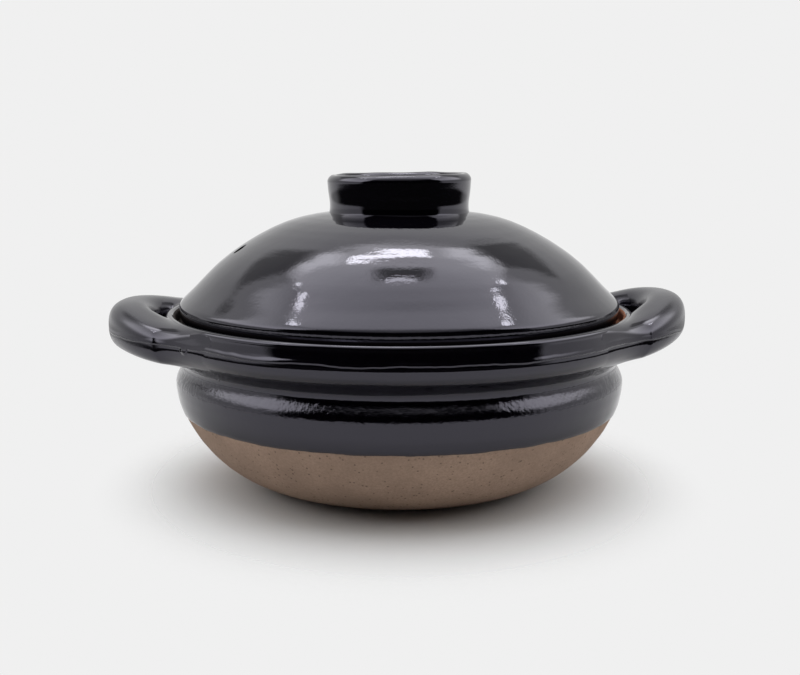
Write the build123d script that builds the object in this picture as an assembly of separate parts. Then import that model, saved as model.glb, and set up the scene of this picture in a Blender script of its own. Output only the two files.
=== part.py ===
from build123d import *
from math import cos, hypot, radians, sin
import os

# Lidded clay cooking pot, lengths in millimetres, bearings in degrees.
# +Z is up, +X points to the right handle, the origin is on the table under the pot's axis.

# Lid edge, and its seat turned inside the rim of the pot
lid_radius = 110.0
lid_play = 2.0
seat_width = 7.4
seat_depth = 5.2
gallery_radius = lid_radius + lid_play
seat_inner_radius = gallery_radius - seat_width

# Pot body, bare clay, from the rim down, flank as steps in from the belly and up from the table
lip_chamfer = 1.2
lip_width = 2.0
rim_bulge = 2.7
neck_depth = 8.0
belly_swell = 2.2
gallery_lip_radius = gallery_radius + lip_chamfer
rim_crest_radius = gallery_lip_radius + lip_width
rim_radius = rim_crest_radius + rim_bulge
neck_radius = rim_radius - neck_depth
belly_radius = neck_radius + belly_swell
belly_height = 54.5
neck_rise = 8.1
rim_rise = 18.9
lip_rise = 4.1
neck_height = belly_height + neck_rise
rim_widest_height = neck_height + rim_rise
rim_crest_height = rim_widest_height + lip_rise
seat_height = rim_crest_height - seat_depth
foot_inset = 49.3
foot_radius = belly_radius - foot_inset
flank_steps = ((28.1, 8.0), (11.0, 24.0))
foot_band_width = 11.0
foot_recess_depth = 1.6
pot_wall = 6.6
pot_floor = 8.4
cavity_shares = (1, 0.85, 0.7, 0.55, 0.4)

# Glaze coats
glaze_coat = 0.7
glaze_line_height = 37.5
seat_bare_band = 4.0
coat_steps = 12

# Lid, heights from the seat, outline as steps in from the lid's edge and up from the seat
lid_edge_rise = 5.2
lid_top_rise = 55.2
lid_steps = ((2.6, 10.8), (8.5, 18.3), (18.5, 28.3), (30.5, 37.5), (42.4, 44.5), (54.3, 49.8), (68.0, 53.3))
lid_wall = 6.0
lid_edge_chamfer = 1.0
lid_bare_band = 3.0

# Steam hole, straight down through the lid near its left edge
steam_hole_diameter = 6.4
steam_hole_inset = 30.0
steam_hole_bearing = 190.0

# Knob, a shallow cup stuck on the crown of the lid, heights from the crown
knob_lip_radius = 36.3
knob_waist_radius = 34.4
knob_base_radius = 36.4
knob_waist_rise = 5.5
knob_lip_rise = 16.0
knob_rise = 19.2
knob_wall = 6.2
knob_floor = 4.5
knob_root_depth = 3.0
knob_hollow_round = 4.0

# Loop handles, each a bow seen from above, with its two roots in the rim
handle_overhang = 27.6
handle_root_inset = 25.9
handle_root_spread = 49.0
handle_strand_width = 16.4
handle_root_width = 34.0
handle_strand_height = 20.4
handle_root_height = 24.4
handle_right_drop = 1.6
handle_left_drop = 3.1
handle_root_drop = 12.8
handle_reach = rim_radius + handle_overhang
handle_root_reach = rim_radius - handle_root_inset
handle_root_level = rim_crest_height - handle_root_drop
bow_roundness = 0.55
root_flare = 6
bow_bearings = (-90, -62, -38, -18, 0, 18, 38, 62, 90)
bow_step = 1.0


def turned(section):
    """Solid of revolution about the upright axis, from a section drawn as radius across and height up."""
    return Rot(90, 0, 0) * revolve(section, Axis.Y)


def flowing(*points, tangents):
    """Smooth curve through points, with a direction at each end."""
    ends = [Vector(*tangent).normalized() for tangent in tangents]
    return Spline(*points, tangents=ends, tangent_scalars=(1, 1))


def beside(curve, share, depth):
    """Point at a share along a curve, moved to the curve's left by a depth."""
    place = curve @ share
    along = curve % share
    return Vector(place.X - along.Y * depth, place.Y + along.X * depth)


def alongside(curve, depth):
    """The same curve moved to its left by a depth."""
    if curve.geom_type == GeomType.LINE:
        return Line(beside(curve, 0, depth), beside(curve, 1, depth))
    places = [beside(curve, step / coat_steps, depth) for step in range(coat_steps + 1)]
    return flowing(*places, tangents=(curve % 0, curve % 1))


def coat(curves, depth):
    """Section of a glaze coat on a run of smoothly joined curves."""
    faces = [alongside(curve, depth) for curve in curves]
    ends = [Line(curves[0] @ 0, faces[0] @ 0), Line(curves[-1] @ 1, faces[-1] @ 1)]
    return make_face([*curves, *faces, *ends])


def bow_centre(bearing, drop):
    """Centre of the handle strand at a bearing round the bow."""
    turn = radians(bearing)
    swell = handle_reach - handle_strand_width / 2 - handle_root_reach
    out = handle_root_reach + swell * max(cos(turn), 0) ** bow_roundness
    lift = (handle_root_drop - drop) * cos(turn) ** 2
    return Vector(out, handle_root_spread * sin(turn), handle_root_level + lift)


def bow_section(bearing, drop):
    """Upright oval across the strand at a bearing."""
    ahead = min(bearing + bow_step, max(bow_bearings))
    behind = max(bearing - bow_step, min(bow_bearings))
    along = bow_centre(ahead, drop) - bow_centre(behind, drop)
    run = hypot(along.X, along.Y)
    across = Vector(along.Y / run, -along.X / run, 0)
    plane = Plane(bow_centre(bearing, drop), x_dir=across, z_dir=(-across.Y, across.X, 0))
    turn = sin(radians(bearing))
    height = handle_strand_height + (handle_root_height - handle_strand_height) * turn ** 2
    width = handle_strand_width + (handle_root_width - handle_strand_width) * turn ** root_flare
    return plane * Ellipse(width / 2, height / 2)


# Pot body
inward = (-1, 0)
upward = (0, 1)
downward = (0, -1)
flank_points = [(belly_radius - inset, rise) for inset, rise in flank_steps]
flank_curve = flowing(
    (foot_radius, 0),
    *flank_points,
    (belly_radius, belly_height),
    tangents=((flank_points[0][0] - foot_radius, flank_points[0][1] / 2), upward),
)
neck_curve = flowing(flank_curve @ 1, (neck_radius, neck_height), tangents=(upward, upward))
rim_curve = flowing(neck_curve @ 1, (rim_radius, rim_widest_height), tangents=(upward, upward))
lip_curve = flowing(rim_curve @ 1, (rim_crest_radius, rim_crest_height), tangents=(upward, inward))
lip_flat = Line(lip_curve @ 1, (gallery_lip_radius, rim_crest_height))
lip_round = flowing(
    lip_flat @ 1,
    (gallery_radius, rim_crest_height - lip_chamfer),
    tangents=(inward, downward),
)
gallery_wall = Line(lip_round @ 1, (gallery_radius, seat_height))
seat = Line(gallery_wall @ 1, (seat_inner_radius, seat_height))
bare_throat = Line(seat @ 1, (seat_inner_radius, seat_height - seat_bare_band))
throat = Line(bare_throat @ 1, (seat_inner_radius, neck_height))
cavity_curve = flowing(
    throat @ 1,
    *[beside(flank_curve, share, pot_wall) for share in cavity_shares],
    (foot_radius, pot_floor),
    tangents=(downward, inward),
)
floor_line = Line(cavity_curve @ 1, (0, pot_floor))
recess_radius = foot_radius - foot_band_width
foot_outline = Polyline(
    floor_line @ 1,
    (0, foot_recess_depth),
    (recess_radius - foot_recess_depth, foot_recess_depth),
    (recess_radius, 0),
    flank_curve @ 0,
)
outer_outline = [flank_curve, neck_curve, rim_curve, lip_curve]
bowl_section = make_face([
    *outer_outline, lip_flat, lip_round, gallery_wall, seat, bare_throat, throat, cavity_curve, floor_line,
    foot_outline,
])
pot_bowl = turned(bowl_section)

# All within the outside of the pot, and the air above it, which the handles stay clear of
clear_height = rim_crest_height + handle_root_height
core_outline = Polyline(
    lip_curve @ 1,
    (rim_crest_radius, clear_height),
    (0, clear_height),
    (0, 0),
    flank_curve @ 0,
)
pot_core = turned(make_face([*outer_outline, core_outline]))

# Handles
strand_right = loft([bow_section(bearing, handle_right_drop) for bearing in bow_bearings])
strand_left = Rot(0, 0, 180) * loft([bow_section(bearing, handle_left_drop) for bearing in bow_bearings])
handle_right = strand_right - pot_core
handle_left = strand_left - pot_core

# Glaze on the outside of the pot, from the glaze line up and over the lip, and inside under the bare seat
bare_flank = Cylinder(rim_radius, glaze_line_height * 2)
pot_outer_glaze = turned(coat([*outer_outline, lip_flat], -glaze_coat)) - bare_flank - strand_right - strand_left
pot_inner_glaze = turned(coat([throat, cavity_curve, floor_line], -glaze_coat))

# Lid
lid_clay_radius = lid_radius - glaze_coat
lid_bare_side = Line(
    (lid_clay_radius, seat_height + lid_edge_chamfer),
    (lid_clay_radius, seat_height + lid_bare_band),
)
lid_side = Line(lid_bare_side @ 1, (lid_clay_radius, seat_height + lid_edge_rise))
lid_curve = flowing(
    lid_side @ 1,
    *[(lid_radius - inset, seat_height + rise) for inset, rise in lid_steps],
    (0, seat_height + lid_top_rise),
    tangents=(upward, inward),
)
lid_inner_radius = lid_clay_radius - lid_wall
lid_bare_hollow = Line((lid_inner_radius, seat_height), (lid_inner_radius, seat_height + lid_bare_band))
lid_hollow_side = Line(lid_bare_hollow @ 1, (lid_inner_radius, seat_height + lid_edge_rise))
lid_hollow_curve = alongside(lid_curve, lid_wall)
lid_foot = Polyline(
    lid_bare_hollow @ 0,
    (lid_clay_radius - lid_edge_chamfer, seat_height),
    lid_bare_side @ 0,
)
lid_axis = Line(lid_curve @ 1, lid_hollow_curve @ 1)
lid_section = make_face([
    lid_foot, lid_bare_side, lid_side, lid_curve, lid_axis, lid_hollow_curve, lid_hollow_side, lid_bare_hollow,
])
bearing_turn = radians(steam_hole_bearing)
steam_hole_distance = lid_radius - steam_hole_inset
steam_bore = Pos(
    steam_hole_distance * cos(bearing_turn),
    steam_hole_distance * sin(bearing_turn),
    seat_height + lid_top_rise,
) * Cylinder(steam_hole_diameter / 2, lid_top_rise * 2)
lid_solid = turned(lid_section)
lid_dome = lid_solid - steam_bore

# Knob
crown_height = seat_height + lid_top_rise
knob_side = flowing(
    (knob_base_radius, crown_height - knob_root_depth),
    (knob_waist_radius, crown_height + knob_waist_rise),
    (knob_lip_radius, crown_height + knob_lip_rise),
    tangents=(upward, upward),
)
knob_lip = flowing(
    knob_side @ 1,
    (knob_lip_radius - knob_wall / 2, crown_height + knob_rise),
    (knob_lip_radius - knob_wall, crown_height + knob_lip_rise),
    tangents=(upward, downward),
)
knob_hollow = Line(knob_lip @ 1, (knob_waist_radius - knob_wall, crown_height + knob_floor + knob_hollow_round))
knob_corner = flowing(
    knob_hollow @ 1,
    (knob_waist_radius - knob_wall - knob_hollow_round, crown_height + knob_floor),
    tangents=(downward, inward),
)
knob_inside = Polyline(
    knob_corner @ 1,
    (0, crown_height + knob_floor),
    (0, crown_height - knob_root_depth),
    knob_side @ 0,
)
lid_knob = turned(make_face([knob_side, knob_lip, knob_hollow, knob_corner, knob_inside])) - lid_solid

# Glaze on the lid, outside and inside
lid_outer_glaze = turned(coat([lid_side, lid_curve], -glaze_coat)) - lid_knob - steam_bore
lid_inner_glaze = turned(coat([lid_hollow_side, lid_hollow_curve], glaze_coat)) - steam_bore

# One file per piece
os.makedirs("parts", exist_ok=True)
pieces = {
    "pot_bowl": pot_bowl,
    "handle_right": handle_right,
    "handle_left": handle_left,
    "pot_outer_glaze": pot_outer_glaze,
    "pot_inner_glaze": pot_inner_glaze,
    "lid_dome": lid_dome,
    "lid_knob": lid_knob,
    "lid_outer_glaze": lid_outer_glaze,
    "lid_inner_glaze": lid_inner_glaze,
}
for name, piece in pieces.items():
    export_step(piece, f"parts/{name}.step")
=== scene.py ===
from functools import partial
from math import atan2, ceil, copysign, cos, dist, hypot, pi, radians, sin, sqrt

import bmesh
import bpy
import numpy as np
from mathutils import Matrix, Vector, noise


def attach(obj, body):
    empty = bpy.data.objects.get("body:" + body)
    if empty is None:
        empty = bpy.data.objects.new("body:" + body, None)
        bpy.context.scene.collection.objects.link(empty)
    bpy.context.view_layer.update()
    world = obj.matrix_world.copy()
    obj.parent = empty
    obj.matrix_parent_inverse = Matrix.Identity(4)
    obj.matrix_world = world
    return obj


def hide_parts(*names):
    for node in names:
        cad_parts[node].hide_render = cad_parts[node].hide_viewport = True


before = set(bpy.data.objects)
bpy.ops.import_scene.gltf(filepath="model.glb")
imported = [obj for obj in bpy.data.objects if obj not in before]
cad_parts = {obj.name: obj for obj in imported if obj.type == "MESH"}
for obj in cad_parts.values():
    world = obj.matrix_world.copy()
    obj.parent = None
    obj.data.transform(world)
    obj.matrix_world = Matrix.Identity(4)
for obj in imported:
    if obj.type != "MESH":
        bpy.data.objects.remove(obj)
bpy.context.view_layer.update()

bl_info = {
    "name": "Lidded clay pot",
    "version": (1, 0, 0),
    "blender": (4, 5, 0),
    "location": "3D View > Sidebar > Clay pot",
    "description": "Dresses a packed clay cooking pot with glaze, clay and hand-made surfaces",
    "category": "Object",
}

MM = 0.001
WELD = 1e-6
CREASE = radians(32)
EIGHTH = pi / 4

# Directions along an outline, as radius and height
INWARD = (-1, 0)
UPWARD = (0, 1)
DOWNWARD = (0, -1)
SLANTED = (-0.70, 0.71)

# Steps round the axis
CLAY_STEPS, GLAZE_STEPS, LINING_STEPS = 256, 360, 180


def length(label, note, size):
    """A size that a user may change, given in millimetres and kept in metres."""
    return bpy.props.FloatProperty(
        name=label, description=note, default=size * MM, unit="LENGTH", precision=4
    )


def share(label, note, size):
    """A share from 0 to 1 that a user may change."""
    return bpy.props.FloatProperty(
        name=label, description=note, default=size, min=0, max=1, subtype="FACTOR"
    )


def tint(label, note, colour):
    """A colour that a user may change."""
    return bpy.props.FloatVectorProperty(
        name=label, description=note, default=colour, size=3, min=0, max=1, subtype="COLOR"
    )


class PotSizes(bpy.types.PropertyGroup):
    """Sizes of the pot body."""

    lid_play: length("Lid play", "Gap all round between the lid and the rim", 2.0)
    seat_width: length("Seat width", "Width of the ledge that the lid rests on", 7.4)
    seat_depth: length("Seat depth", "Drop from the rim's crest to the seat", 5.2)
    lip_chamfer: length("Lip chamfer", "Round on the inner edge of the lip", 1.2)
    lip_width: length("Lip width", "Flat top of the lip", 2.0)
    rim_bulge: length("Rim bulge", "Swell of the rim outside its crest", 2.7)
    neck_depth: length("Neck depth", "Depth of the groove under the rim", 9.0)
    belly_swell: length("Belly swell", "Swell of the belly outside the neck", 3.2)
    belly_height: length("Belly height", "Height of the widest part of the belly", 52.8)
    neck_height: length("Neck height", "Height of the groove under the rim", 61.4)
    rim_height: length("Rim height", "Height of the widest part of the rim", 75.5)
    crest_height: length("Crest height", "Height of the top of the rim", 85.6)
    foot_share: share("Foot share", "Radius of the foot as a share of the belly's", 0.56)
    foot_band: length("Foot band", "Width of the ring that the pot stands on", 11.0)
    foot_recess: length("Foot recess", "Depth of the hollow under the foot", 1.6)
    wall: length("Wall", "Thickness of the clay wall", 6.6)
    floor: length("Floor", "Height of the clay floor inside", 8.4)


class LidSizes(bpy.types.PropertyGroup):
    """Sizes of the lid and its knob."""

    radius: length("Lid radius", "Radius of the glazed lid edge", 110.0)
    edge_rise: length("Edge rise", "Height of the upright edge, inside", 5.2)
    shoulder_rise: length("Shoulder rise", "Height of the upright edge, outside", 9.4)
    undercut: length("Undercut", "How far the outside of the upright edge leans in", 0.6)
    top_rise: length("Top rise", "Height of the crown over the seat", 55.2)
    wall: length("Lid wall", "Thickness of the lid", 6.0)
    hole: length("Steam hole", "Diameter of the steam hole", 6.4)
    hole_inset: length("Hole inset", "Distance of the steam hole from the edge", 30.0)
    knob_lip: length("Knob lip", "Radius of the knob's lip", 36.3)
    knob_waist: length("Knob waist", "Radius of the knob's waist", 34.9)
    knob_base: length("Knob base", "Radius of the knob where its root flares", 35.6)
    knob_flare: length("Knob flare", "Width of the soft root of the knob", 2.6)
    knob_rise: length("Knob rise", "Height of the knob over the crown", 19.2)
    knob_wall: length("Knob wall", "Thickness of the knob's wall", 6.2)


class HandleSizes(bpy.types.PropertyGroup):
    """Sizes of the two loop handles."""

    overhang: length("Overhang", "Reach of the handles beyond the rim", 28.1)
    root_inset: length("Root inset", "Depth of the roots inside the rim", 25.9)
    root_spread: length("Root spread", "Distance of each root from the middle", 47.0)
    strand_width: length("Strand width", "Width of the strand seen from above", 23.8)
    root_width: length("Root width", "Width of the strand at its roots", 31.0)
    strand_height: length("Strand height", "Height of the strand", 24.8)
    root_height: length("Root height", "Height of the strand at its roots", 20.6)
    right_drop: length("Right drop", "Drop of the right strand under the rim's crest", 2.0)
    left_drop: length("Left drop", "Drop of the left strand under the rim's crest", 5.2)
    root_drop: length("Root drop", "Drop of the roots under the rim's crest", 11.0)
    reach: length("Join reach", "How long before the rim the strand starts to bend into it", 16.0)
    fillet: length("Fillet", "Spread of the soft join over the rim", 26.0)


class GlazeLook(bpy.types.PropertyGroup):
    """Colour and build-up of the glaze."""

    coat: length("Coat", "Thickness of the glaze", 0.7)
    line: length("Glaze line", "Height of the lower edge of the glaze", 37.5)
    bare_band: length("Bare band", "Bare strip under the lid's edge", 3.0)
    colour: tint("Glaze", "Colour of the dark glaze", (0.0015, 0.0012, 0.0024))
    sheen: tint("Sheen", "Tint of the light that the glaze throws back", (0.86, 0.835, 1.0))
    thin: tint("Thin glaze", "Colour where the glaze thins out", (0.020, 0.011, 0.008))


class ClayLook(bpy.types.PropertyGroup):
    """Colours of the fired clay, with the painted shade on its bare rim."""

    colour: tint("Clay", "Colour of the bare fired clay", (0.41, 0.288, 0.216))
    flashed: tint("Flashed clay", "Colour of bare clay close to glaze", (0.24, 0.09, 0.045))
    # Painted shade: near-black colour for bare clay inside the rim, away from its lit right side
    painted_rim_shade: tint("Painted rim shade", "Colour of bare clay on the darker side of the rim", (0.018, 0.012, 0.010))
    fleck: tint("Flecks", "Colour of the dark grains in the clay", (0.05, 0.034, 0.026))


class StudioLook(bpy.types.PropertyGroup):
    """Colours and levels of the studio."""

    backdrop: tint("Backdrop", "Colour of the pale background", (0.871, 0.871, 0.871))
    floor: tint("Floor", "Colour of the floor", (0.64, 0.64, 0.64))
    floor_radius: length("Floor radius", "Radius of the floor", 430.0)
    shadow_radius: length("Shadow radius", "Where the floor has faded into the backdrop", 188.0)
    shadow_squeeze: bpy.props.FloatProperty(
        name="Shadow squeeze", description="How much sooner the floor fades at the sides", default=1.2
    )


# Outlines, as pairs of radius and height

COAT_ROUND = 1.6  # length of the rounded edge of a coat, in thicknesses


def unit(pair):
    """A direction with length one."""
    size = hypot(*pair)
    return (pair[0] / size, pair[1] / size)


def smooth_run(points, start, end, step):
    """Even points on the smooth curve through points, with a direction at each end."""
    knots = np.array(points, dtype=float)
    gaps = np.linalg.norm(np.diff(knots, axis=0), axis=1)
    count = len(knots)
    system = np.eye(count)
    wanted = np.zeros((count, 2))
    wanted[0] = unit(start)
    wanted[-1] = unit(end)
    for i in range(1, count - 1):
        before, after = gaps[i - 1], gaps[i]
        system[i, i - 1:i + 2] = (1 / before, 2 / before + 2 / after, 1 / after)
        wanted[i] = 3 * ((knots[i] - knots[i - 1]) / before ** 2 + (knots[i + 1] - knots[i]) / after ** 2)
    slopes = np.linalg.solve(system, wanted)
    run = [tuple(knots[0])]
    for i, gap in enumerate(gaps):
        pieces = max(2, ceil(gap / step))
        for k in range(1, pieces + 1):
            t = k / pieces
            place = (
                (2 * t ** 3 - 3 * t ** 2 + 1) * knots[i]
                + (t ** 3 - 2 * t ** 2 + t) * gap * slopes[i]
                + (3 * t ** 2 - 2 * t ** 3) * knots[i + 1]
                + (t ** 3 - t ** 2) * gap * slopes[i + 1]
            )
            run.append(tuple(place))
    return run


def straight_run(start, end, step=2.0 * MM):
    """Even points on a straight line."""
    pieces = max(1, ceil(dist(start, end) / step))
    return [
        (start[0] + (end[0] - start[0]) * k / pieces, start[1] + (end[1] - start[1]) * k / pieces)
        for k in range(pieces + 1)
    ]


def joined(*runs):
    """Runs end to end, without the doubled points."""
    whole = list(runs[0])
    for run in runs[1:]:
        whole += run[1:] if dist(whole[-1], run[0]) < WELD else run
    return whole


def softened(points, reach):
    """A chain of points with each sharp corner rounded off."""
    result = [points[0]]
    for before, corner, after in zip(points, points[1:], points[2:]):
        one = (corner[0] - before[0], corner[1] - before[1])
        two = (after[0] - corner[0], after[1] - corner[1])
        turn = abs(atan2(one[0] * two[1] - one[1] * two[0], one[0] * two[0] + one[1] * two[1]))
        if turn < CREASE:
            result.append(corner)
            continue
        cut = min(reach, hypot(*one) / 2, hypot(*two) / 2)
        enter = (corner[0] - unit(one)[0] * cut, corner[1] - unit(one)[1] * cut)
        leave = (corner[0] + unit(two)[0] * cut, corner[1] + unit(two)[1] * cut)
        for t in (0, 0.25, 0.5, 0.75, 1):
            result.append(tuple(
                (1 - t) ** 2 * enter[i] + 2 * t * (1 - t) * corner[i] + t ** 2 * leave[i] for i in (0, 1)
            ))
    return result + [points[-1]]


def beside(run, depth):
    """The same run moved to its left, by one depth or by a depth for each point."""
    depths = depth if isinstance(depth, list) else [depth] * len(run)
    moved = []
    for i, (radius, height) in enumerate(run):
        before, after = run[max(i - 1, 0)], run[min(i + 1, len(run) - 1)]
        along = unit((after[0] - before[0], after[1] - before[1]))
        moved.append((radius - along[1] * depths[i], height + along[0] * depths[i]))
    return moved


def travelled(run):
    """Distance along a run at each of its points."""
    places = [0.0]
    for one, two in zip(run, run[1:]):
        places.append(places[-1] + dist(one, two))
    return places


def coat_outline(run, depth, to_axis=False):
    """Outline of a glaze coat beside a run, with rounded edges. On the axis it is left open."""
    places = travelled(run)
    edge = abs(depth) * COAT_ROUND
    depths = []
    for place in places:
        near = min(place, edge if to_axis else places[-1] - place, edge)
        depths.append(depth * sqrt(max(1 - (1 - near / edge) ** 2, 0)))
    outer = beside(run, depths)
    if to_axis:
        return list(reversed(run)) + outer[1:-1] + [(0, outer[-1][1])]
    return run + list(reversed(outer[1:-1]))


# Meshes


def meshed(bm, name):
    """The mesh of a finished bmesh."""
    mesh = bpy.data.meshes.new(name)
    bm.to_mesh(mesh)
    bm.free()
    return mesh


def placed(name, data):
    """Adds an object to the scene."""
    item = bpy.data.objects.new(name, data)
    bpy.context.collection.objects.link(item)
    return item


def finished(bm, name, body, slot, material, *nodes):
    """Makes the object for a finished mesh, and says what it is to the frame."""
    for face in bm.faces:
        face.smooth = True
    for edge in bm.edges:
        edge.smooth = edge.calc_face_angle(0) < CREASE
    piece = placed(name, meshed(bm, name))
    piece.data.materials.append(material)
    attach(piece, body)
    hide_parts(*nodes)
    return piece


def turned(outline, steps, ring=False):
    """Spins an outline through an eighth turn and repeats it all round. A ring is closed on itself."""
    bm = bmesh.new()
    corners = [bm.verts.new((radius, 0, height)) for radius, height in outline]
    for one, two in zip(corners, corners[1:] + corners[:1] if ring else corners[1:]):
        bm.edges.new((one, two))
    bmesh.ops.spin(
        bm, geom=bm.verts[:] + bm.edges[:], cent=(0, 0, 0), axis=(0, 0, 1), angle=EIGHTH, steps=steps // 8,
        use_merge=False,
    )
    for turn in (EIGHTH, 2 * EIGHTH, 4 * EIGHTH):
        copy = bmesh.ops.duplicate(bm, geom=bm.verts[:] + bm.edges[:] + bm.faces[:])["geom"]
        moved = [item for item in copy if isinstance(item, bmesh.types.BMVert)]
        bmesh.ops.rotate(bm, cent=(0, 0, 0), matrix=Matrix.Rotation(turn, 3, "Z"), verts=moved)
    bmesh.ops.remove_doubles(bm, verts=bm.verts, dist=WELD)
    bmesh.ops.recalc_face_normals(bm, faces=bm.faces)
    return bm


def ease(value, low, high):
    """Smooth step from 0 at low to 1 at high."""
    t = min(max((value - low) / (high - low), 0), 1)
    return t * t * (3 - 2 * t)


def hand_drift(bearing, height, seed, turns=1.2, rise=16.0, contrast=0.6):
    """Slow unevenness of hand-thrown clay, from 0 to 1."""
    place = Vector((cos(bearing) * turns + seed, sin(bearing) * turns, height * rise))
    return min(max(0.5 + contrast * noise.noise(place), 0), 1)


def throwing_ring(bearing, travel, spacing, seed, turns=0.9, rise=55, stray=4.5):
    """Rings left by the fingers on the wheel, from 0 to 1."""
    drift = noise.noise(Vector((cos(bearing) * turns + seed, sin(bearing) * turns, travel * rise)))
    return 0.5 + 0.5 * sin(2 * pi * travel / spacing + stray * drift)


# Materials

GLAZE_IOR = 1.68
MOTTLE_LOW, MOTTLE_HIGH = (50.0 * MM, 54.0 * MM), (62.5 * MM, 60.0 * MM)  # heights round the neck
HANDLES = (113 * MM, 128 * MM)  # distance to the side where the glaze turns softer
PAINTED_SHADE_SIDE = (98.0 * MM, 111.0 * MM)  # distance to the right, from the side of the rim with painted shade to the flashed side
BARE_RIM = (60.0 * MM, 70.0 * MM)  # height above which bare clay takes the rim's painted shade and flashed colour

# Second dip line, on the rim and the handles
DIP_HEIGHT, DIP_WANDER, DIP_EDGE, BEAD_WIDTH = 77.8 * MM, 4.2 * MM, 0.4 * MM, 2.4 * MM
DIP_RELIEF, BEAD_RELIEF = 0.24, 0.20  # in millimetres
DRIP_PLACE, DRIP_RADIUS, DRIP_BLEND = (-98.8 * MM, -62.8 * MM, 77.0 * MM), 3.8 * MM, 0.8 * MM


def feed(tree, value, socket):
    """Links an output into a socket, or sets the socket to a value. A colour is given without alpha."""
    if isinstance(value, bpy.types.NodeSocket):
        tree.links.new(value, socket)
    else:
        socket.default_value = (*value, 1.0) if socket.type == "RGBA" else value


def feed_all(tree, node, **values):
    """Feeds a node's inputs by name."""
    for key, value in values.items():
        feed(tree, value, node.inputs[key.replace("_", " ")])


def new_node(tree, kind, **settings):
    """Adds a node, sets its options and feeds its inputs by name."""
    node = tree.nodes.new(kind)
    for key, value in settings.items():
        if hasattr(node, key):
            setattr(node, key, value)
        else:
            feed_all(tree, node, **{key: value})
    return node


def maths(tree, operation, *values, clamp=False):
    """Adds a Math node, feeds its inputs, and gives its output."""
    node = new_node(tree, "ShaderNodeMath", operation=operation, use_clamp=clamp)
    for socket, value in zip(node.inputs, values):
        feed(tree, value, socket)
    return node.outputs[0]


def vector_maths(tree, operation, *values):
    """Adds a Vector Math node, feeds its inputs, and gives its outputs."""
    node = new_node(tree, "ShaderNodeVectorMath", operation=operation)
    for socket, value in zip(node.inputs, values):
        feed(tree, value, socket)
    return node.outputs


def split(tree, vector):
    """The three values of a vector."""
    return new_node(tree, "ShaderNodeSeparateXYZ", Vector=vector).outputs


def ramped(tree, value, low, high, start=0.0, end=1.0):
    """Smoothly maps a value between two limits."""
    return new_node(
        tree, "ShaderNodeMapRange", interpolation_type="SMOOTHSTEP",
        Value=value, From_Min=low, From_Max=high, To_Min=start, To_Max=end,
    ).outputs["Result"]


def noised(tree, place, scale, detail=2.0, roughness=0.5):
    """Noise value on a place, from 0 to 1."""
    return new_node(
        tree, "ShaderNodeTexNoise", Vector=place, Scale=scale, Detail=detail, Roughness=roughness
    ).outputs[0]


def dotted(tree, place, scale, size, kept):
    """Round dots that fade between two radii, of which only a few are kept."""
    cells = new_node(tree, "ShaderNodeTexVoronoi", Vector=place, Scale=scale)
    dots = ramped(tree, cells.outputs["Distance"], *size)
    return maths(tree, "MULTIPLY", dots, ramped(tree, cells.outputs["Color"], *kept))


def mixed(tree, factor, one, two):
    """Mix of two colours."""
    node = new_node(tree, "ShaderNodeMix", data_type="RGBA")
    for place, value in ((0, factor), (6, one), (7, two)):
        feed(tree, value, node.inputs[place])
    return node.outputs[2]


def bumped(tree, relief):
    """Normal from a relief in millimetres."""
    return new_node(tree, "ShaderNodeBump", Strength=1.0, Distance=1.0 * MM, Height=relief).outputs[0]


def new_material(name):
    """A material with its node tree, its shader and the object's own coordinates."""
    material = bpy.data.materials.new(name)
    material.use_nodes = True
    tree = material.node_tree
    place = tree.nodes.new("ShaderNodeTexCoord").outputs["Object"]
    return material, tree, tree.nodes["Principled BSDF"], place


def glaze_skin():
    """Group for the skin of the glaze: its colour, its gloss and its relief in millimetres."""
    name = "glaze skin"
    if name in bpy.data.node_groups:
        return bpy.data.node_groups[name]
    tree = bpy.data.node_groups.new(name, "ShaderNodeTree")
    for in_out, kind, labels in (
        ("INPUT", "Vector", ("Place",)),
        ("INPUT", "Color", ("Glaze", "Thin Glaze")),
        ("INPUT", "Float", ("Travel", "Thin", "Rings", "Peel", "Mottle")),
        ("OUTPUT", "Color", ("Color",)),
        ("OUTPUT", "Float", ("Roughness", "Height")),
    ):
        for label in labels:
            tree.interface.new_socket(label, in_out=in_out, socket_type="NodeSocket" + kind)
    given = tree.nodes.new("NodeGroupInput").outputs
    place = given["Place"]
    parts = split(tree, place)
    stretched = new_node(
        tree, "ShaderNodeCombineXYZ",
        X=maths(tree, "MULTIPLY", parts[0], 16.0),
        Y=maths(tree, "MULTIPLY", parts[1], 16.0),
        Z=maths(tree, "MULTIPLY", given["Travel"], 210.0),
    )
    rings = noised(tree, stretched.outputs[0], 1.0, detail=2.5)
    peel = noised(tree, place, 620.0, roughness=0.6)
    lumps = noised(tree, place, 380.0, detail=3.0, roughness=0.65)
    pits = dotted(tree, place, 150.0, size=(0.16, 0.04), kept=(0.93, 0.95))
    height = maths(tree, "MULTIPLY", rings, given["Rings"])
    for wave, relief in (
        (peel, given["Peel"]),
        (noised(tree, place, 1300.0, detail=1.0), 0.0065),
        (noised(tree, place, 70.0, detail=1.0), 0.13),
        (lumps, given["Mottle"]),
        (pits, -0.05),
    ):
        height = maths(tree, "MULTIPLY_ADD", wave, relief, height)
    rough = maths(tree, "MULTIPLY_ADD", peel, 0.035, 0.035)
    patches = ramped(tree, lumps, 0.45, 0.75)
    build_up = maths(tree, "MULTIPLY_ADD", patches, 0.05, given["Thin"], clamp=True)
    feed_all(
        tree, tree.nodes.new("NodeGroupOutput"),
        Color=mixed(tree, build_up, given["Glaze"], given["Thin Glaze"]),
        Roughness=maths(tree, "MULTIPLY_ADD", pits, 0.2, rough),
        Height=height,
    )
    return tree


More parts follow.
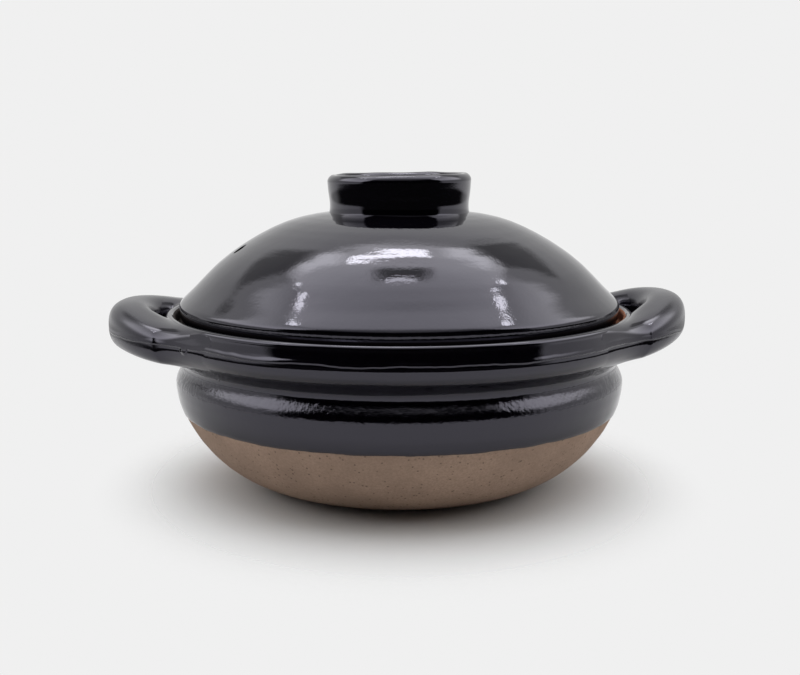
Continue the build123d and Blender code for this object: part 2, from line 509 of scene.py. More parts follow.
def dipped(tree, place, height, relief):
    """Adds the second dip line to a relief: a step with a soft bead, and one drip."""
    wander = noised(tree, place, 26.0, detail=3.0, roughness=0.6)
    line = maths(tree, "MULTIPLY_ADD", wander, DIP_WANDER, DIP_HEIGHT - DIP_WANDER / 2)
    above = maths(tree, "SUBTRACT", height, line)
    from_drip = vector_maths(tree, "DISTANCE", place, DRIP_PLACE)["Value"]
    drop = maths(tree, "SUBTRACT", DRIP_RADIUS, from_drip)
    above = maths(tree, "SMOOTH_MAX", above, drop, DRIP_BLEND)
    step = ramped(tree, above, -DIP_EDGE, DIP_EDGE)
    bead = maths(tree, "MULTIPLY", ramped(tree, above, BEAD_WIDTH, DIP_EDGE), step)
    relief = maths(tree, "MULTIPLY_ADD", step, DIP_RELIEF, relief)
    return maths(tree, "MULTIPLY_ADD", bead, BEAD_RELIEF, relief)


def glaze_material(name, domed=False, on_pot=False, rings=0.035, peel=0.006):
    """Dark glossy glaze. Domed pieces have their rings by distance from the axis, others by height."""
    look = bpy.context.scene.pot_glaze
    material, tree, shader, place = new_material(name)
    parts = split(tree, place)
    height = travel = parts[2]
    if domed:
        squares = [maths(tree, "POWER", part, 2.0) for part in parts[:2]]
        across = maths(tree, "POWER", maths(tree, "ADD", *squares), 0.5)
        travel = maths(tree, "SUBTRACT", across, height)
    group = tree.nodes.new("ShaderNodeGroup")
    group.node_tree = glaze_skin()
    feed_all(
        tree, group, Place=place, Travel=travel, Rings=rings, Peel=peel,
        Glaze=look.colour, Thin_Glaze=look.thin,
    )
    relief = group.outputs["Height"]
    if on_pot:
        relief = dipped(tree, place, height, relief)
        neck = [ramped(tree, height, *limits) for limits in (MOTTLE_LOW, MOTTLE_HIGH)]
        feed_all(
            tree, group,
            Thin=ramped(tree, height, look.line + 1.6 * MM, look.line + 0.2 * MM),
            Mottle=maths(tree, "MULTIPLY", maths(tree, "MULTIPLY", *neck), 0.26),
        )
    softer = ramped(tree, maths(tree, "ABSOLUTE", parts[0]), *HANDLES, 0.0, 0.18)
    feed_all(
        tree, shader, IOR=GLAZE_IOR, Specular_Tint=look.sheen, Normal=bumped(tree, relief),
        Base_Color=group.outputs["Color"], Roughness=maths(tree, "ADD", group.outputs["Roughness"], softer),
    )
    return material


def clay_material():
    """Rough speckled clay. Where it lies bare inside the rim it has painted shade, near black, giving way
    to a flashed orange on the right side.
    """
    name = "bare clay"
    if name in bpy.data.materials:
        return bpy.data.materials[name]
    look = bpy.context.scene.pot_clay
    material, tree, shader, place = new_material(name)
    parts = split(tree, place)
    cloud = noised(tree, place, 28.0, detail=4.0, roughness=0.6)
    grain = noised(tree, place, 900.0, detail=3.0, roughness=0.7)
    coarse = noised(tree, place, 330.0, roughness=0.6)
    flecks = dotted(tree, place, 620.0, size=(0.42, 0.2), kept=(0.72, 0.8))
    spots = dotted(tree, place, 160.0, size=(0.16, 0.08), kept=(0.90, 0.92))
    base, fleck = Vector(look.colour), look.fleck
    shade = mixed(tree, ramped(tree, cloud, 0.3, 0.7), base * 0.84, base * 1.12)
    shade = mixed(tree, ramped(tree, grain, 0.35, 0.7, end=0.45), shade, base * 0.62)
    shade = mixed(tree, maths(tree, "MULTIPLY", flecks, 0.55), shade, fleck)
    shade = mixed(tree, maths(tree, "MULTIPLY", spots, 0.7), shade, fleck)
    # Painted shade on bare rim clay, near black, giving way to the flashed colour on the right side
    painted_rim_shade = mixed(tree, ramped(tree, parts[0], *PAINTED_SHADE_SIDE), look.painted_rim_shade, look.flashed)
    relief = maths(tree, "MULTIPLY_ADD", grain, 0.05, maths(tree, "MULTIPLY", coarse, 0.05))
    feed_all(
        tree, shader, Specular_IOR_Level=0.25, Roughness=ramped(tree, grain, 0.2, 0.8, 0.78, 0.95),
        Base_Color=mixed(tree, ramped(tree, parts[2], *BARE_RIM), shade, painted_rim_shade),
        Normal=bumped(tree, maths(tree, "MULTIPLY_ADD", spots, -0.15, relief)),
    )
    return material


# Pot body

FLANK = ((0.749, 0.152), (0.902, 0.454))  # places below the belly, as shares of its radius and height
BROW = (0.55, 2.4 * MM)  # a place on the rim's shoulder: share of the bulge, and drop from the crest

# Unevenness of the outside: where it starts, is full, eases off and ends, and how deep it goes
THROWN_LOW, THROWN_FULL, THROWN_EASE, THROWN_HIGH = 0.5 * MM, 12 * MM, 83.5 * MM, 85.4 * MM
THROWN_DEPTH = 5.5 * MM


def pot_outlines():
    """Runs of the pot body's outline, outside from the foot up and inside from the lip down."""
    pot, lid = bpy.context.scene.pot_sizes, bpy.context.scene.lid_sizes
    gallery = lid.radius + pot.lid_play
    crest = gallery + pot.lip_chamfer + pot.lip_width
    rim = crest + pot.rim_bulge
    neck = rim - pot.neck_depth
    belly = neck + pot.belly_swell
    foot = belly * pot.foot_share
    seat_inner = gallery - pot.seat_width
    seat_height = pot.crest_height - pot.seat_depth
    round_end = pot.crest_height - pot.lip_chamfer
    low, high = [(belly * across, pot.belly_height * up) for across, up in FLANK]
    start = (low[0] - foot, low[1] / 2)
    flank = smooth_run([(foot, 0), low, high, (belly, pot.belly_height)], start, UPWARD, step=1.2 * MM)
    neck_run = smooth_run([flank[-1], (neck, pot.neck_height)], UPWARD, UPWARD, step=0.7 * MM)
    rim_run = smooth_run([neck_run[-1], (rim, pot.rim_height)], UPWARD, UPWARD, step=0.8 * MM)
    brow = (rim - pot.rim_bulge * BROW[0], pot.crest_height - BROW[1])
    lip_run = smooth_run([rim_run[-1], brow, (crest, pot.crest_height)], UPWARD, INWARD, step=0.4 * MM)
    lip_flat = straight_run(lip_run[-1], (gallery + pot.lip_chamfer, pot.crest_height), step=0.7 * MM)
    lip_round = smooth_run([lip_flat[-1], (gallery, round_end)], INWARD, DOWNWARD, step=0.4 * MM)
    gallery_run = straight_run((gallery, round_end), (gallery, seat_height), step=1.0 * MM)
    seat_run = straight_run((gallery, seat_height), (seat_inner, seat_height))
    bare_throat = straight_run((seat_inner, seat_height), (seat_inner, seat_height - 4.0 * MM))
    throat = straight_run(bare_throat[-1], (seat_inner, pot.neck_height), step=3.0 * MM)
    wall = beside(flank, pot.wall)
    places = travelled(flank)
    knots = []
    for part in (1, 0.85, 0.7, 0.55, 0.4):
        nearest = min(range(len(places)), key=lambda i: abs(places[i] - part * places[-1]))
        knots.append(wall[nearest])
    cavity = smooth_run([throat[-1], *knots, (foot, pot.floor)], DOWNWARD, INWARD, step=2.2 * MM)
    recess = foot - pot.foot_band
    hollow_edge = (recess - pot.foot_recess, pot.foot_recess)
    return {
        "under": [
            *straight_run((0, pot.foot_recess), hollow_edge, step=6.0 * MM),
            (recess, 0),
            *straight_run((recess + 1.5 * MM, 0), (foot, 0), step=3.0 * MM),
        ],
        "flank": flank,
        "above": joined(neck_run, rim_run, lip_run),
        "lip_flat": lip_flat,
        "seat": joined(lip_round, gallery_run, seat_run, bare_throat),
        "throat": throat,
        "cavity": cavity,
        "floor": straight_run((foot, pot.floor), (0, pot.floor), step=4.0 * MM),
    }


def thrown_inset(bearing, height):
    """How far the outside of the hand-thrown pot lies inside the true outline."""
    hold = ease(height, THROWN_LOW, THROWN_FULL) * (1 - ease(height, THROWN_EASE, THROWN_HIGH))
    drift = 0.35 * MM * hand_drift(bearing, height, seed=3.1)
    return hold * (drift + 0.09 * MM * throwing_ring(bearing, height, spacing=7.4 * MM, seed=8.3))


def throw_pot(bm, outlines):
    """Gives the outside of a turned pot piece the unevenness of hand-thrown clay, always inwards."""
    run = joined(outlines["flank"], outlines["above"])
    places = [vert.co.copy() for vert in bm.verts]
    surface = np.interp(
        [place.z for place in places], [point[1] for point in run], [point[0] for point in run]
    )
    for vert, place, wall in zip(bm.verts, places, surface):
        radius, height = hypot(place.x, place.y), place.z
        if radius < wall - THROWN_DEPTH or not THROWN_LOW < height < THROWN_HIGH:
            continue
        hold = ease(radius, wall - THROWN_DEPTH, wall - 1 * MM)
        scale = 1 - hold * thrown_inset(atan2(place.y, place.x), height) / radius
        vert.co.x *= scale
        vert.co.y *= scale


def wander_line(coat, line):
    """Moves the lower edge of the pot's glaze up and down a little."""
    for vert in coat.verts:
        low = 1 - ease(vert.co.z, line + 0.3 * MM, line + 4 * MM)
        if low > 0:
            bearing = atan2(vert.co.y, vert.co.x)
            slow, fast = [
                noise.noise(Vector((cos(bearing) * scale, sin(bearing) * scale, seed)))
                for scale, seed in ((9, 4.4), (31, 1.7))
            ]
            vert.co.z += low * 0.35 * MM * (slow + 0.5 * fast)


# Handles

LINES, ROOT_ROWS, BOW_STEPS = 72, 44, 90
FULLNESS = 0.78  # 1 is an oval section, less is fuller
RUN_ON, RUN_ON_STEPS = 2 * MM, 15  # how far the roots run on into the wall
TAILS = ((0.04, 0.3), (0.05, 2.5))  # share of the way back, and millimetres under the glaze
END_PUSH = 1.035  # keeps the middle of each closed end inside the clay


def bow_frame(turn, drop):
    """Place, across and upright directions, with half sizes, of the strand at a turn of the bow."""
    scene = bpy.context.scene
    pot, lid, handle = scene.pot_sizes, scene.lid_sizes, scene.handle_sizes
    rim = lid.radius + pot.lid_play + pot.lip_chamfer + pot.lip_width + pot.rim_bulge

    def centre(angle):
        root = rim - handle.root_inset
        swell = rim + handle.overhang - handle.strand_width / 2 - root
        lift = (handle.root_drop - drop) * (1 - abs(sin(angle)) ** 3)
        return Vector((
            root + swell * cos(angle),
            handle.root_spread * sin(angle),
            pot.crest_height - handle.root_drop + lift,
        ))

    step = radians(0.5)
    along = centre(min(turn + step, pi / 2)) - centre(max(turn - step, -pi / 2))
    along.z = 0
    along.normalize()
    across = Vector((along.y, -along.x, 0))
    width = handle.strand_width + (handle.root_width - handle.strand_width) * sin(turn) ** 6
    rise = (handle.root_height - handle.strand_height) * sin(turn) ** 2
    height = handle.strand_height + rise
    return centre(turn), across * width / 2, Vector((0, 0, height / 2))


def on_wall(wall, place):
    """Nearest place on the pot's glazed outside, and the way out from it."""
    radius, bearing = hypot(place.x, place.y), atan2(place.y, place.x)
    nearest = int(np.argmin(np.hypot(wall[:, 0] - radius, wall[:, 1] - place.z)))
    low, high = wall[max(nearest - 1, 0)], wall[min(nearest + 1, len(wall) - 1)]
    along = high - low
    share_up = ((radius - low[0]) * along[0] + (place.z - low[1]) * along[1]) / along.dot(along)
    across, height = low + along * min(max(share_up, 0), 1)
    across -= thrown_inset(bearing, height)
    out = unit((along[1], -along[0]))
    return (
        Vector((across * cos(bearing), across * sin(bearing), height)),
        Vector((out[0] * cos(bearing), out[0] * sin(bearing), out[1])),
    )


def root_curve(line, outward, wall, shoulder, reach, spread_out, straight=0.3, pull=0.7, sink=0.03):
    """Draws one line along the strand, from the middle of the bow, into a curve that ends in the wall."""
    gaps = [
        hypot(place.x, place.y) - float(np.interp(place.z, wall[:, 1], wall[:, 0])) for place in line
    ]
    last = next(i for i, gap in enumerate(gaps) if gap < 0)
    meet = line[last - 1].lerp(line[last], gaps[last - 1] / (gaps[last - 1] - gaps[last]))
    run = [*line[:last], meet]
    travel = [0.0]
    for one, two in zip(run, run[1:]):
        travel.append(travel[-1] + (two - one).length)
    leave_at = max(travel[-1] - reach, travel[-1] * straight)
    way_out = on_wall(wall, meet)[1]
    aside = outward[last] - way_out * outward[last].dot(way_out)
    aside.normalize()
    foot, foot_out = on_wall(shoulder, meet + aside * spread_out)
    foot -= foot_out * sink * MM
    back = meet - foot
    back -= foot_out * back.dot(foot_out)
    cells = np.array(run)
    path = [
        Vector([float(np.interp(at, travel, cells[:, axis])) for axis in (0, 1, 2)])
        for at in np.linspace(0, leave_at, ROOT_ROWS)
    ]
    leave = path[-1]
    hold, land = leave.lerp(meet, pull), foot + back * pull
    for k in range(1, ROOT_ROWS + 1):
        t = k / ROOT_ROWS
        path.append(
            leave * (1 - t) ** 3 + hold * 3 * t * (1 - t) ** 2 + land * 3 * t ** 2 * (1 - t) + foot * t ** 3
        )
    return path + [foot - back * part - foot_out * depth * MM for part, depth in TAILS]


def squarish(value):
    """A cosine or sine made fuller, for a section between an oval and a box."""
    return copysign(abs(value) ** FULLNESS, value)


def strand(drop, side, seed, outlines):
    """One loop handle, rolled up from a grid and drawn out along its bow into the wall of the pot."""
    handle, glaze = bpy.context.scene.handle_sizes, bpy.context.scene.pot_glaze
    above = [point for point in joined(outlines["flank"], outlines["above"]) if point[1] > glaze.line]
    wall = np.array(beside(above, -glaze.coat))
    shoulder = wall[wall[:, 1] > bpy.context.scene.pot_sizes.neck_height + 1.0 * MM]
    turns = [pi / 2 * k / BOW_STEPS for k in range(BOW_STEPS + 1)]
    turn_round = Matrix.Rotation(pi if side < 0 else 0, 3, "Z")
    inward = turn_round @ Vector((-RUN_ON, 0, 0))
    seeds = Vector((seed, seed, seed))
    places = {}
    for line in range(LINES):
        angle = 2 * pi * line / LINES
        sideways, upwards = squarish(cos(angle)), squarish(sin(angle))
        outer = 0.5 + 0.5 * cos(angle)
        # The join is narrower inside the bow and under it
        spread_out = (0.6 + 0.4 * outer ** 1.5) * handle.fillet * (1 - 0.35 * max(-sin(angle), 0))
        for half in (1, -1):
            run, outward = [], []
            for turn in turns:
                centre, across, upright = bow_frame(half * turn, drop)
                place = turn_round @ (centre + across * sideways + upright * upwards)
                normal = across / across.length_squared * cos(angle)
                normal += upright / upright.length_squared * sin(angle)
                normal.normalize()
                normal = turn_round @ normal
                press = 0.5 + 0.5 * noise.noise(place * 34 + seeds)
                press += 0.8 + 0.8 * noise.noise(place * 17 - seeds)
                run.append(place - normal * 0.9 * MM * press)
                outward.append(normal)
            for _ in range(RUN_ON_STEPS):
                run.append(run[-1] + inward)
                outward.append(outward[-1])
            path = root_curve(run, outward, wall, shoulder, handle.reach, spread_out)
            for row, place in enumerate(path):
                places[half * row, line] = place
    rows = len(path) - 1
    bm = bmesh.new()
    bmesh.ops.create_grid(bm, x_segments=2 * rows, y_segments=LINES, size=1.0)
    for vert in bm.verts:
        row, line = round(vert.co.x * rows), round((vert.co.y + 1) / 2 * LINES) % LINES
        vert.co = places[row, line]
    bmesh.ops.remove_doubles(bm, verts=bm.verts, dist=WELD)
    bmesh.ops.holes_fill(bm, edges=[edge for edge in bm.edges if edge.is_boundary], sides=0)
    for vert in bmesh.ops.poke(bm, faces=[face for face in bm.faces if len(face.verts) > 4])["verts"]:
        vert.co.x *= END_PUSH
        vert.co.y *= END_PUSH
    bmesh.ops.recalc_face_normals(bm, faces=bm.faces)
    return bm


class BuildPotBody(bpy.types.Operator):
    """Turn the clay body of the pot and its two glaze coats, and join the handles to the rim"""

    bl_idname = "clay_pot.body"
    bl_label = "Pot body and handles"

    def execute(self, context):
        runs = pot_outlines()
        glaze, handle = context.scene.pot_glaze, context.scene.handle_sizes
        bowl = turned(joined(
            runs["under"], runs["flank"], runs["above"], runs["lip_flat"],
            softened(runs["seat"], reach=0.6 * MM), runs["throat"], runs["cavity"], runs["floor"],
        ), CLAY_STEPS)
        throw_pot(bowl, runs)
        finished(bowl, "clay_bowl", "pot", "bare_clay", clay_material(), "pot_bowl")

        run = joined(runs["flank"], runs["above"], runs["lip_flat"])
        start = next(i for i, point in enumerate(run) if point[1] > glaze.line)
        coat = turned(coat_outline(run[start:], -glaze.coat), GLAZE_STEPS, ring=True)
        throw_pot(coat, runs)
        wander_line(coat, glaze.line)
        material = glaze_material("pot glaze", on_pot=True)
        finished(coat, "outer_glaze", "pot", "dark_glaze", material, "pot_outer_glaze")
        for side, name, drop in ((1, "right", handle.right_drop), (-1, "left", handle.left_drop)):
            finished(
                strand(drop, side, 4.0 * side, runs),
                "handle_" + name + "_glazed", "pot", "handle_glaze", material, "handle_" + name,
            )
        lining = turned(
            coat_outline(joined(runs["throat"], runs["cavity"], runs["floor"]), -glaze.coat, True),
            LINING_STEPS,
        )
        material = glaze_material("inside glaze")
        finished(lining, "inner_glaze", "pot", "dark_glaze", material, "pot_inner_glaze")
        return {"FINISHED"}


# Lid and knob

LID_CURVE = (  # places on the lid from its shoulder up, as shares of its radius and rise
    (0.9791, 0.2174), (0.9227, 0.3315), (0.8318, 0.5127), (0.7227, 0.6793), (0.6145, 0.8062),
    (0.5064, 0.9022), (0.3818, 0.9656),
)
LID_ROUND = 1.0 * MM
LID_SLOPE = 1.12  # way along the dome, over the radius


def lid_outlines():
    """Runs of the lid's outline, outside from the edge up and inside from the edge up."""
    scene = bpy.context.scene
    pot, lid, glaze = scene.pot_sizes, scene.lid_sizes, scene.pot_glaze
    seat = pot.crest_height - pot.seat_depth
    clay = lid.radius - glaze.coat
    inner = clay - lid.wall
    low_edge = clay - lid.undercut
    band, outside, inside = (seat + rise for rise in (glaze.bare_band, lid.shoulder_rise, lid.edge_rise))
    points = [(lid.radius * across, seat + lid.top_rise * rise) for across, rise in LID_CURVE]
    crown = (0, seat + lid.top_rise)
    shoulder = smooth_run([(clay, outside), points[0]], UPWARD, SLANTED, step=0.4 * MM)
    hollow = smooth_run([(clay, inside), *points, crown], UPWARD, INWARD, step=1.2 * MM)
    return {
        "foot": softened([
            (inner, band),
            (inner, seat),
            (low_edge - LID_ROUND, seat),
            (low_edge, seat + LID_ROUND),
            (low_edge, band),
        ], reach=0.5 * MM),
        "side": straight_run((low_edge, band), (clay, outside), step=0.8 * MM),
        "dome": joined(shoulder, smooth_run([*points, crown], SLANTED, INWARD, step=1.2 * MM)),
        "hollow": beside(hollow, lid.wall),
        "hollow_side": straight_run((inner, band), (inner, inside), step=0.8 * MM),
    }


def throw_lid(bm):
    """Gives the lid pieces the same unevenness of hand-thrown clay, always downwards."""
    lid = bpy.context.scene.lid_sizes
    for vert in bm.verts:
        radius = hypot(vert.co.x, vert.co.y)
        hold = 1 - ease(radius, lid.radius - 9 * MM, lid.radius - 1 * MM)
        if hold <= 0:
            continue
        bearing = atan2(vert.co.y, vert.co.x)
        drop = 0.5 * MM * hand_drift(bearing, radius, seed=21.7, turns=1.5, rise=26.0)
        drop += 0.04 * MM * throwing_ring(bearing, radius * LID_SLOPE, spacing=8.1 * MM, seed=14.9)
        vert.co.z -= hold * drop


def steam_bore():
    """A cutter for the steam hole."""
    pot, lid = bpy.context.scene.pot_sizes, bpy.context.scene.lid_sizes
    distance, bearing = lid.radius - lid.hole_inset, radians(190)
    place = (distance * cos(bearing), distance * sin(bearing), pot.crest_height)
    bm = bmesh.new()
    bmesh.ops.create_cone(
        bm, cap_ends=True, segments=40, radius1=lid.hole / 2, radius2=lid.hole / 2,
        depth=lid.top_rise * 2, matrix=Matrix.Translation(place),
    )
    return placed("steam bore", meshed(bm, "steam bore"))


def bored(piece):
    """Cuts the steam hole through a lid piece."""
    cutter = steam_bore()
    cut = piece.modifiers.new("steam hole", "BOOLEAN")
    cut.operation = "DIFFERENCE"
    cut.solver = "EXACT"
    cut.object = cutter
    whole = bpy.data.meshes.new_from_object(piece.evaluated_get(bpy.context.evaluated_depsgraph_get()))
    piece.modifiers.clear()
    old, name = piece.data, piece.data.name
    piece.data = whole
    bpy.data.meshes.remove(old)
    whole.name = name
    mesh = cutter.data
    bpy.data.objects.remove(cutter)
    bpy.data.meshes.remove(mesh)


class BuildLid(bpy.types.Operator):
    """Turn the lid's clay dome and its two glaze coats, with the steam hole"""

    bl_idname = "clay_pot.lid"
    bl_label = "Lid"

    def execute(self, context):
        coat = context.scene.pot_glaze.coat
        runs = lid_outlines()
        inside = joined(runs["hollow_side"], runs["hollow"])
        outside = joined(runs["side"], runs["dome"])
        clay = joined(
            list(reversed(runs["hollow"])), list(reversed(runs["hollow_side"])), runs["foot"], outside
        )
        shine = glaze_material("lid glaze", domed=True, rings=0.032, peel=0.03)
        for outline, steps, name, slot, material, node in (
            (clay, CLAY_STEPS, "lid_clay", "bare_clay", clay_material(), "lid_dome"),
            (
                coat_outline(outside, -coat, True), GLAZE_STEPS,
                "lid_glaze_outside", "dark_glaze", shine, "lid_outer_glaze",
            ),
            (
                coat_outline(inside, coat, True), LINING_STEPS,
                "lid_glaze_inside", "dark_glaze", bpy.data.materials["inside glaze"], "lid_inner_glaze",
            ),
        ):
            bm = turned(outline, steps)
            throw_lid(bm)
            bored(finished(bm, name, "lid", slot, material, node))
        return {"FINISHED"}


class BuildKnob(bpy.types.Operator):
    """Turn the cup-shaped knob with its uneven lip"""

    bl_idname = "clay_pot.knob"
    bl_label = "Knob"

    def execute(self, context):
        pot, lid = context.scene.pot_sizes, context.scene.lid_sizes
        crown = pot.crest_height - pot.seat_depth + lid.top_rise
        inner = lid.knob_waist - lid.knob_wall
        floor = crown + 4.5 * MM
        side = smooth_run([
            (lid.knob_base + lid.knob_flare, crown - 2.8 * MM),
            (lid.knob_base, crown - 1.3 * MM),
            (lid.knob_waist, crown + 0.9 * MM),
            ((lid.knob_waist + lid.knob_lip) / 2, crown + 9.6 * MM),
            (lid.knob_lip, crown + 15.6 * MM),
        ], (-1, 0.3), (0.1, 1), step=0.6 * MM)
        lip = smooth_run([
            side[-1],
            (lid.knob_lip - lid.knob_wall / 2, crown + lid.knob_rise),
            (lid.knob_lip - lid.knob_wall, crown + 16.0 * MM),
        ], (0.1, 1), DOWNWARD, step=0.5 * MM)
        hollow = straight_run(lip[-1], (inner, crown + 8.5 * MM))
        corner = smooth_run([hollow[-1], (inner - 4.0 * MM, floor)], DOWNWARD, INWARD, step=0.7 * MM)
        floor_run = straight_run(corner[-1], (0, floor), step=3.0 * MM)
        under = straight_run((0, crown - 2.8 * MM), side[0], step=6.0 * MM)
        knob = turned(joined(under, side, lip, hollow, corner, floor_run), CLAY_STEPS)
        for vert in knob.verts:
            bearing = atan2(vert.co.y, vert.co.x)
            high = ease(vert.co.z, crown + 6 * MM, crown + 17 * MM)
            sag = 0.9 * (0.5 - 0.5 * cos(bearing)) + 0.7 * hand_drift(bearing, 0.0, seed=40.2, turns=2.2)
            vert.co.z -= high * sag * MM
            radius = hypot(vert.co.x, vert.co.y)
            if radius > inner:
                wave = hand_drift(bearing, vert.co.z, seed=51.0, turns=1.8)
                inset = high * 0.5 * MM * wave / radius
                vert.co.x *= 1 - inset
                vert.co.y *= 1 - inset
        material = glaze_material("knob glaze", rings=0.03)
        finished(knob, "knob_cup", "lid", "handle_glaze", material, "lid_knob")
        return {"FINISHED"}


# Studio

LAMP_HEIGHT = 1.15
LAMPS = (  # name, place to the right, place to the back, width, depth and radiance
    ("front lamp", 0.0, -0.03, 0.22, 0.06, 4.0),
    ("back lamp", -0.04, 0.33, 0.46, 0.11, 9.0),
    ("left lamp", -0.68, 0.02, 0.09, 0.10, 7.0),
    ("left back lamp", -0.66, 0.22, 0.06, 0.07, 6.0),
    ("right lamp", 0.70, -0.03, 0.09, 0.11, 8.0),
    ("right back lamp", 0.69, 0.19, 0.07, 0.08, 8.0),
)
SENSOR, FOCAL, PHOTO_WIDTH = 36, 1180, 800  # the first in millimetres, the others in pixels


class BuildStudio(bpy.types.Operator):
    """Lay the pale floor, hang the soft lamps and set the camera"""

    bl_idname = "clay_pot.studio"
    bl_label = "Studio"

    def execute(self, context):
        lay_floor()
        paint_world()
        for lamp in LAMPS:
            hang_lamp(*lamp)
        set_camera()
        context.scene.view_settings.view_transform = "Standard"
        return {"FINISHED"}


def lay_floor():
    """A pale round floor that fades into the backdrop where the camera sees it."""
    look = bpy.context.scene.pot_studio
    bm = bmesh.new()
    bmesh.ops.create_circle(bm, cap_ends=True, segments=96, radius=look.floor_radius)
    floor = placed("floor", meshed(bm, "floor"))
    material, tree, shader, place = new_material("pale floor")
    squeezed = vector_maths(tree, "MULTIPLY", place, (look.shadow_squeeze, 1.0, 1.0))[0]
    away = vector_maths(tree, "LENGTH", squeezed)["Value"]
    seen = tree.nodes.new("ShaderNodeLightPath").outputs["Is Camera Ray"]
    fade = ramped(tree, away, look.shadow_radius * 0.5, look.shadow_radius, 1.0, 0.0)
    feed_all(
        tree, shader, Base_Color=look.floor, Roughness=1.0, Specular_IOR_Level=0.0,
        Alpha=maths(tree, "MAXIMUM", fade, maths(tree, "SUBTRACT", 1.0, seen)),
    )
    floor.data.materials.append(material)


def paint_world():
    """Boxes overhead and on both sides, a dark room in front, and the backdrop where the camera looks.

    A direction is told by its height, by its turn away from the camera's side, and by where it meets a
    ceiling one metre up.
    """
    look = bpy.context.scene.pot_studio
    world = bpy.data.worlds.new("studio")
    bpy.context.scene.world = world
    world.use_nodes = True
    tree = world.node_tree
    x, y, up = split(tree, tree.nodes.new("ShaderNodeTexCoord").outputs["Generated"])
    aside = maths(tree, "ABSOLUTE", maths(tree, "ARCTAN2", x, maths(tree, "MULTIPLY", y, -1.0)))
    raised = maths(tree, "MAXIMUM", up, 0.05)
    left_right = maths(tree, "DIVIDE", x, raised)
    front_back = maths(tree, "DIVIDE", y, raised)

    # A smooth step on a value, and where two masks meet
    fade, both = partial(ramped, tree), partial(maths, tree, "MULTIPLY")

    def window(value, low, high, soft):
        """1 between two limits and 0 outside, with soft edges."""
        return both(fade(value, low - soft, low + soft), fade(value, high + soft, high - soft))

    def lit(level, mask, brightness):
        """The level where a mask is 0, and a brightness where it is 1."""
        kept = maths(tree, "MULTIPLY", level, maths(tree, "SUBTRACT", 1.0, mask))
        return maths(tree, "MULTIPLY_ADD", mask, brightness, kept)

    level = fade(up, 0.3, 0.85, 0.72, 1.1)
    # Two darker gaps at the back
    gaps = both(window(aside, radians(132), radians(152), radians(3)), window(up, 0.52, 0.78, 0.04))
    level = lit(level, gaps, 0.35)
    # Boxes on both sides
    sides = both(window(aside, radians(60), radians(120), radians(5)), window(up, 0.02, 0.85, 0.08))
    level = lit(level, sides, both(fade(up, 0.22, 0.48, 0.25, 1.0), fade(up, 0.5, 0.9, 2.7, 1.6)))
    # Dark room in front, wider low down
    edge = fade(up, 0.45, 0.6, radians(63), radians(53))
    room = fade(maths(tree, "SUBTRACT", aside, edge), radians(6), 0.0)
    level = lit(level, room, fade(up, 0.6, 0.95, 0.0, 0.7))
    # Box overhead, with two bright corners at its back and a darker hole
    box = both(window(left_right, -0.60, 0.62, 0.05), fade(front_back, 0.62, 0.50))
    box = both(box, fade(front_back, -0.42, -0.14))
    level = lit(level, box, fade(front_back, -0.3, 0.35, 1.8, 2.7))
    corners = window(maths(tree, "ABSOLUTE", left_right), 0.26, 0.52, 0.06)
    level = lit(level, both(corners, window(front_back, 0.40, 0.58, 0.06)), 4.2)
    hole = both(window(left_right, -0.12, 0.16, 0.05), window(front_back, 0.06, 0.22, 0.04))
    level = lit(level, hole, 0.45)
    # Below the floor: dark in front, pale at the back and under the horizon
    low = fade(aside, radians(112), radians(130), 0.02, 0.5)
    horizon = both(fade(up, -0.15, -0.10), fade(aside, radians(60), radians(74)))
    level = lit(level, fade(up, 0.03, -0.03), lit(low, horizon, 0.9))
    shade = new_node(tree, "ShaderNodeCombineColor", Red=level, Green=level, Blue=level)
    seen = tree.nodes.new("ShaderNodeLightPath").outputs["Is Camera Ray"]
    final = mixed(tree, seen, shade.outputs[0], look.backdrop)
    feed_all(tree, tree.nodes["Background"], Color=final)


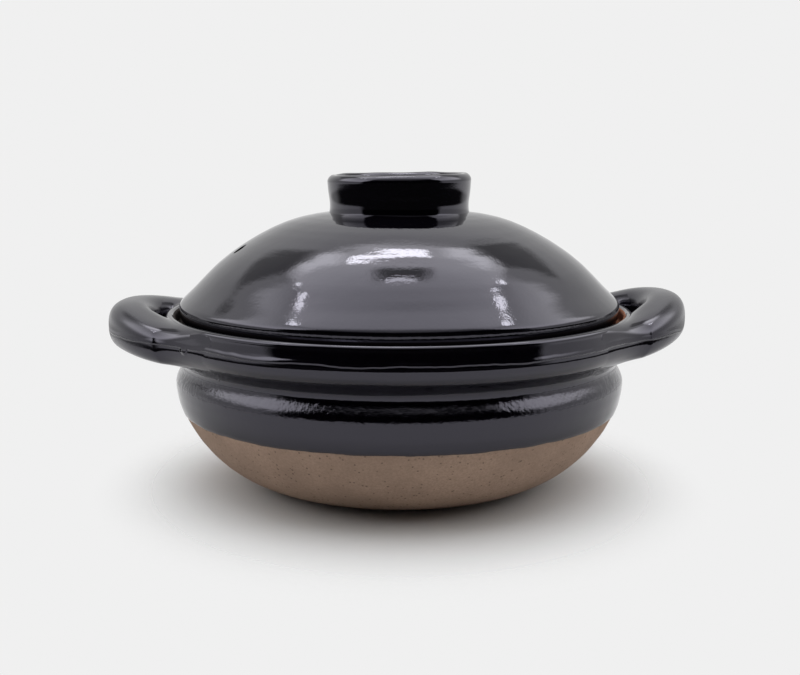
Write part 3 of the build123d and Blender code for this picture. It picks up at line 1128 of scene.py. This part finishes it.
def hang_lamp(name, right, back, width, depth, radiance):
    """Hangs an oval soft lamp, with an even radiance over its face, that points straight down."""
    data = bpy.data.lights.new(name, "AREA")
    data.shape = "ELLIPSE"
    data.size = width
    data.size_y = depth
    data.energy = radiance * pi * width * depth * pi / 4
    lamp = placed(name, data)
    lamp.location = (right, back, LAMP_HEIGHT)
    lamp.rotation_euler = Vector((0, 0, -LAMP_HEIGHT)).to_track_quat("-Z", "Y").to_euler()
    lamp.visible_camera = False


def set_camera():
    """Camera at the photograph's viewing angle."""
    distance, rise, turn, tilt = 0.595, 0.169, radians(3), radians(9.35)
    data = bpy.data.cameras.new("camera")
    data.sensor_width = SENSOR
    data.lens = SENSOR * FOCAL / PHOTO_WIDTH
    data.shift_x = 0.000875
    data.clip_start = 0.01
    camera = placed("camera", data)
    camera.location = (-distance * sin(turn), -distance * cos(turn), rise)
    camera.rotation_euler = (pi / 2 - tilt, 0, -turn)
    bpy.context.scene.camera = camera


class ClayPotPanel(bpy.types.Panel):
    """Sidebar panel with the pot's sizes, colours and building steps."""

    bl_idname = "VIEW3D_PT_clay_pot"
    bl_label = "Clay pot"
    bl_space_type = "VIEW_3D"
    bl_region_type = "UI"
    bl_category = "Clay pot"

    def draw(self, context):
        for operator in OPERATORS:
            self.layout.operator(operator.bl_idname)
        for name in GROUPS:
            box = self.layout.box()
            settings = getattr(context.scene, name)
            for key in settings.__annotations__:
                box.prop(settings, key)


OPERATORS = (BuildPotBody, BuildLid, BuildKnob, BuildStudio)
GROUPS = {
    "pot_sizes": PotSizes,
    "lid_sizes": LidSizes,
    "handle_sizes": HandleSizes,
    "pot_glaze": GlazeLook,
    "pot_clay": ClayLook,
    "pot_studio": StudioLook,
}


def register():
    for kind in (*GROUPS.values(), *OPERATORS, ClayPotPanel):
        bpy.utils.register_class(kind)
    for name, kind in GROUPS.items():
        setattr(bpy.types.Scene, name, bpy.props.PointerProperty(type=kind))


def unregister():
    for name in GROUPS:
        delattr(bpy.types.Scene, name)
    for kind in (ClayPotPanel, *OPERATORS, *GROUPS.values()):
        bpy.utils.unregister_class(kind)


def main():
    register()
    bpy.ops.clay_pot.body()
    bpy.ops.clay_pot.lid()
    bpy.ops.clay_pot.knob()
    bpy.ops.clay_pot.studio()


if __name__ == "__main__":
    main()
